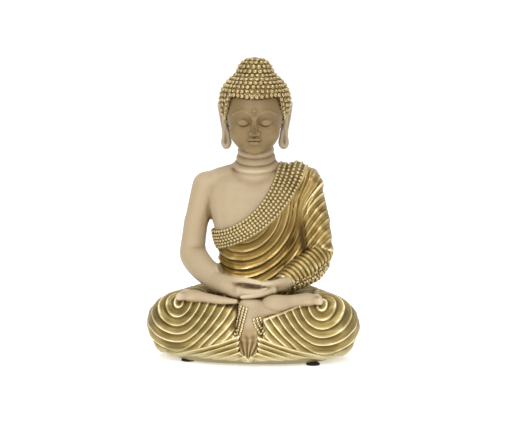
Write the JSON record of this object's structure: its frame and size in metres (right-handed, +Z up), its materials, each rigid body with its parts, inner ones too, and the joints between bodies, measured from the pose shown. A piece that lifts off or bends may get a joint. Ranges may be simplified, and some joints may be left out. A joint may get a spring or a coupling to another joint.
{
  "type": "buddha statue",
  "caption": "Seated meditating figure in painted cast resin, legs crossed, hands in the lap, pleated robe over one shoulder, curled hair and topknot; on stick-on pads; a shelf ornament.",
  "frame": {"origin": "on the table under the middle of the figure's bounding box", "axes": "+Z up along the figure, the figure faces -Y, its own right side is on -X"},
  "size_m": [0.1994, 0.118, 0.28],
  "materials": {
    "skin": "satin beige paint over cast resin",
    "gold": "antique gold paint with a brown wash in the folds",
    "beads": "pale antique gold paint over cast beads and curls",
    "resin": "bare pale cast resin",
    "pad": "black foam rubber"
  },
  "bodies": {
    "root": {"ankle": "skin", "base_plug": "resin", "base_rim": "resin", "border": "beads", "centre_panel": "gold", "ear_left": "skin", "ear_right": "skin", "foot_left": "skin", "foot_right": "skin", "forearm_right": "skin", "hair_cap": "beads", "hand_left": "skin", "hand_right": "skin", "head": "skin", "neck": "skin", "pad_back_left": "pad", "pad_back_right": "pad", "pad_front_left": "pad", "pad_front_right": "pad", "pleats_left": "gold", "pleats_right": "gold", "robe_leg_left": "gold", "robe_leg_right": "gold", "robe_upper": "gold", "shoulder_fold": "gold", "sleeve_forearm": "gold", "sleeve_hem": "beads", "sleeve_upper": "gold", "strip_left": "beads", "strip_right": "beads", "thumb_left": "skin", "thumb_right": "skin", "topknot": "beads", "torso": "skin", "upper_arm_right": "skin"}
  },
  "joints": []
}
